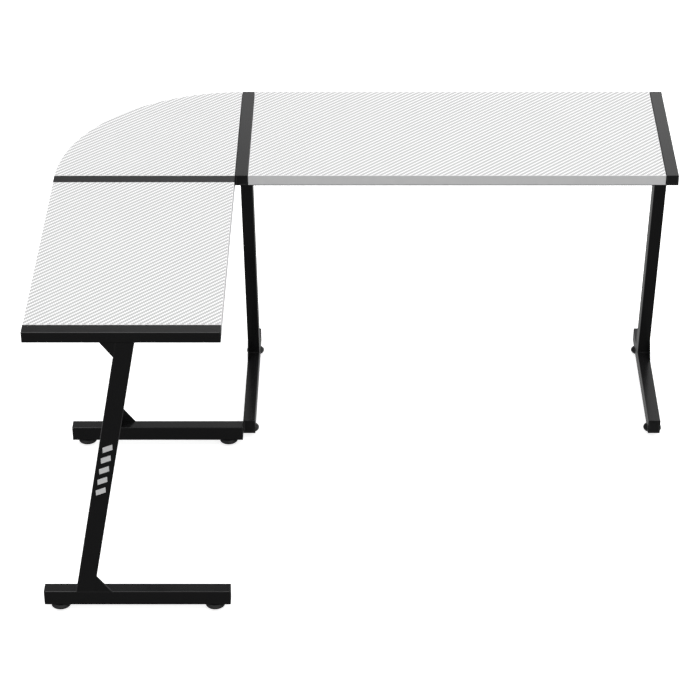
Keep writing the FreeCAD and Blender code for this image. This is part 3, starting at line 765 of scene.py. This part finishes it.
# %% Find where the fasteners are
def spots_of(node, reach=20 * MM):
    """The middle of each fastener in a node, seen from above, with its lowest height."""
    groups = []
    for vertex in frame["nodes"][node].data.vertices:
        for group in groups:
            if (group[0].xy - vertex.co.xy).length < reach:
                group.append(vertex.co)
                break
        else:
            groups.append([vertex.co])
    spots = []
    for group in groups:
        xs = [co.x for co in group]
        ys = [co.y for co in group]
        spots.append(((min(xs) + max(xs)) / 2, (min(ys) + max(ys)) / 2, min(co.z for co in group)))
    return spots


bolt_spots = spots_of("board_bolts")
screw_spots = spots_of("rail_screws")
print(len(bolt_spots), "bolts and", len(screw_spots), "screws")

# %% Model and place the bolts
HEAD_ACROSS = 10 * MM
HEAD_HEIGHT = 4 * MM
BOLT_LENGTH = 16 * MM
HEAD_RIM = 0.5 * MM
DISH_BORDER = 1.6 * MM
DISH_DEPTH = 0.4 * MM
SHANK_INSET = 2.1 * MM
bpy.ops.object.select_all(action="DESELECT")
bpy.ops.mesh.primitive_cylinder_add(
    vertices=6, radius=HEAD_ACROSS / math.sqrt(3), depth=HEAD_HEIGHT,
    location=(0, 0, HEAD_HEIGHT / 2))
bolt = start("bolt_pattern")
choose(bolt, lambda middle, facing: facing.z < -0.9)
bpy.ops.mesh.inset(thickness=HEAD_RIM)
bpy.ops.mesh.inset(thickness=DISH_BORDER)
bpy.ops.transform.translate(value=(0, 0, DISH_DEPTH))
choose(bolt, lambda middle, facing: facing.z > 0.9)
bpy.ops.mesh.inset(thickness=SHANK_INSET)
extrude((0, 0, BOLT_LENGTH))
done()
soften(bolt, 0.25 * MM)
bolts = [copy_to(bolt, "bolt", Matrix.Translation(spot)) for spot in bolt_spots]
finish_piece(join(bolts, "hexagon_bolts"), "desk", "black_steel", "board_bolts")
forget(bolt)
print(len(bolt_spots), "bolts placed")

# %% [markdown]
# ## Pan-head screws
# A screw's head is a low dome with a cross pressed into it. The dome is a disc with its lower edge
# bevelled. The disc's flat face has no edges in the shape of a cross to push in, so the recess is
# cut out of it with two thin blocks instead.

# %% Model and place the screws
SCREW_RADIUS = 4 * MM
SCREW_HEAD = 2.4 * MM
SCREW_LENGTH = 15 * MM
SCREW_INSET = 2.05 * MM
DOME = 1.2 * MM
CROSS = (4.2 * MM, 0.9 * MM, 2.4 * MM)
CROSS_MIDDLE = 0.5 * MM
bpy.ops.object.select_all(action="DESELECT")
bpy.ops.mesh.primitive_cylinder_add(
    vertices=24, radius=SCREW_RADIUS, depth=SCREW_HEAD, location=(0, 0, SCREW_HEAD / 2))
screw = start("screw_pattern")
choose(screw, lambda middle, facing: middle.z < 0.01 * MM and middle.xy.length > 3 * MM, "EDGE")
bpy.ops.mesh.bevel(offset=DOME, segments=4, affect="EDGES")
choose(screw, lambda middle, facing: facing.z > 0.9)
bpy.ops.mesh.inset(thickness=SCREW_INSET)
extrude((0, 0, SCREW_LENGTH))
done()
cutters = []
for turn in (0, math.pi / 2):
    bpy.ops.object.select_all(action="DESELECT")
    bpy.ops.mesh.primitive_cube_add(size=1, rotation=(0, 0, turn), location=(0, 0, CROSS_MIDDLE),
                                    scale=CROSS)
    cutters.append(start("cross_cutter"))
    use(screw, "BOOLEAN", operation="DIFFERENCE", object=cutters[-1], solver="EXACT")
for cutter in cutters:
    forget(cutter)
bpy.ops.object.shade_smooth_by_angle(angle=math.radians(SHARP_ANGLE))
screws = [copy_to(screw, "screw", Matrix.Translation(spot)) for spot in screw_spots]
finish_piece(join(screws, "pan_head_screws"), "desk", "zinc_steel", "rail_screws")
forget(screw)
print(len(screw_spots), "screws placed")

# %% [markdown]
# ## Slanted stripes on the front post
# The left front post carries a small printed decoration, made here as five plain slanted bars. A
# printed film has almost no thickness, so each bar is a thin plate lying on the steel.

# %% Model and place the stripes
STRIPE_WIDTH = 22 * MM
STRIPE_HEIGHT = 14 * MM
STRIPE_SLANT = 9 * MM
STRIPE_FILM = 0.15 * MM
STRIPES_LOW = 0.330
STRIPES_HIGH = 0.446
STRIPES = 5
low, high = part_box("left_end_post")
lean = (high.x - low.x - POST_DEPTH) / (high.z - low.z)
bpy.ops.object.select_all(action="DESELECT")
bpy.ops.mesh.primitive_cube_add(size=1, location=(0, -STRIPE_FILM / 2, 0),
                                scale=(STRIPE_WIDTH, STRIPE_FILM, STRIPE_HEIGHT))
stripe = start("stripe_pattern")
choose(stripe, lambda middle, facing: middle.x > 0, "VERT")
bpy.ops.transform.translate(value=(0, 0, STRIPE_SLANT))
done()
soften(stripe, 0.04 * MM, 1)
stripes = []
for number in range(STRIPES):
    height = STRIPES_LOW + (STRIPES_HIGH - STRIPES_LOW) * number / (STRIPES - 1) - STRIPE_SLANT / 2
    across = low.x + POST_DEPTH / 2 + lean * (height - low.z)
    stripes.append(copy_to(stripe, "stripe", Matrix.Translation((across, low.y, height))))
finish_piece(join(stripes, "left_end_stripes"), "desk", "white_edge")
forget(stripe)
print(STRIPES, "stripes placed")

# %% [markdown]
# ## The size
# The finished desk must fill the same box as the model, so both boxes are printed.

# %% Write the sizes and finish
low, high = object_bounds()
print("visual box in mm:", [round(v / MM, 1) for v in (*low, *high)])
